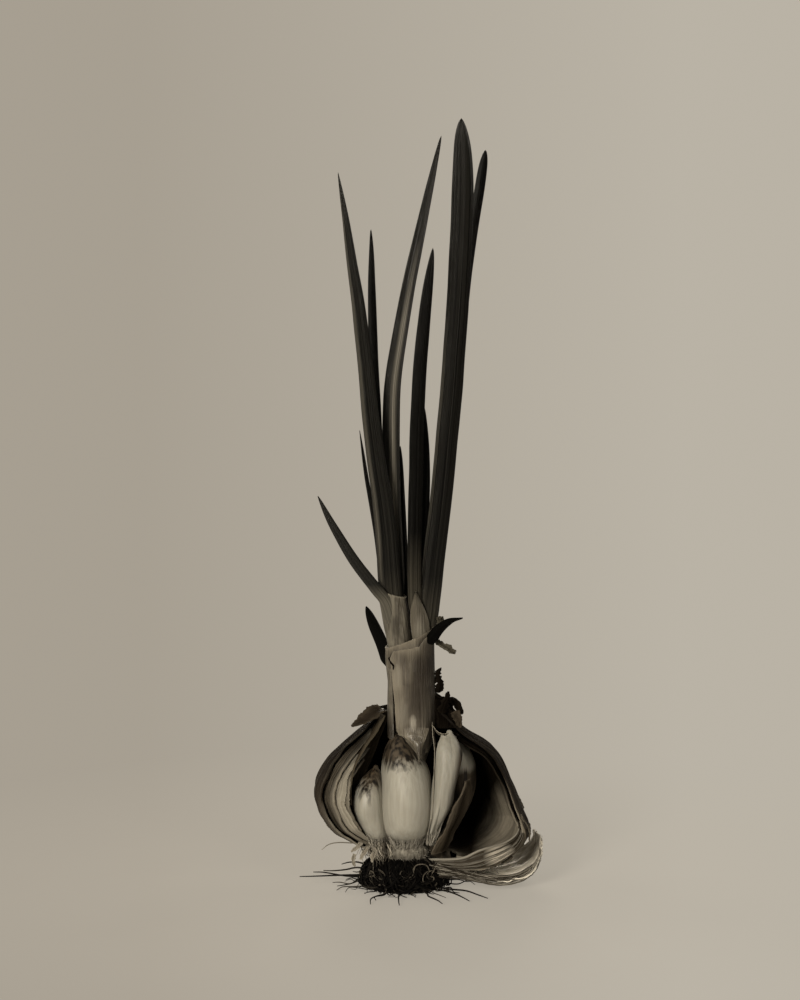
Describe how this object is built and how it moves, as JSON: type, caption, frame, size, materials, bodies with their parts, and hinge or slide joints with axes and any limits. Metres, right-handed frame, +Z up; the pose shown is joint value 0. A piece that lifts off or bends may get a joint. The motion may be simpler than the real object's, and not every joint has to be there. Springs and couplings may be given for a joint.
{
  "type": "sprouted onion",
  "caption": "Withered onion bulb split open at the front, with bare lobes, torn papery scales, a root tuft it stands on, and two shoots of long upright leaves.",
  "frame": {"origin": "middle of the flat spot under the root tuft, on which the onion stands", "axes": "+Z up along the neck and leaves, -Y the split front with the bare lobes, +X the onion's right side seen from the front, where the bulb is hollow"},
  "size_m": [0.0865, 0.066, 0.2723],
  "materials": {
    "leaf": "waxy dark leaf with fine lengthwise veins",
    "flesh": "smooth moist cream onion flesh with faint ribs",
    "sheath": "pale satin leaf sheath with fine lengthwise veins",
    "dry_skin": "dry papery brown skin, ribbed and torn",
    "plate": "dull fibrous tan basal plate",
    "root": "dry wiry near-black roots"
  },
  "bodies": {
    "root": {"root_tuft": "root", "basal_plate": "plate", "heart_lobe": "flesh", "left_lobe": "flesh", "right_lobe": "flesh", "rear_lobe": "flesh", "outer_skin": "dry_skin", "left_scale_outer": "dry_skin", "left_scale_middle": "dry_skin", "left_scale_inner": "dry_skin", "right_scale": "dry_skin", "fallen_scale": "dry_skin", "lobe_sheath": "dry_skin", "tatter_left": "dry_skin", "tatter_back_left": "dry_skin", "tatter_back": "dry_skin", "tatter_right": "dry_skin", "tatter_upright": "dry_skin", "neck_strip": "dry_skin", "neck_chip": "dry_skin", "neck": "sheath", "left_shoot": "sheath", "right_shoot": "sheath", "leaf_left_tall": "leaf", "leaf_left_short": "leaf", "leaf_middle_tall": "leaf", "leaf_left_stub": "leaf", "leaf_inner": "leaf", "leaf_middle_dark": "leaf", "leaf_right_tall": "leaf", "leaf_right_rear": "leaf", "leaf_right_short": "leaf", "leaf_right_inner": "leaf", "leaf_back_low": "leaf", "leaf_right_low": "leaf", "dry_scrap": "leaf", "dry_curl": "leaf"}
  },
  "joints": []
}
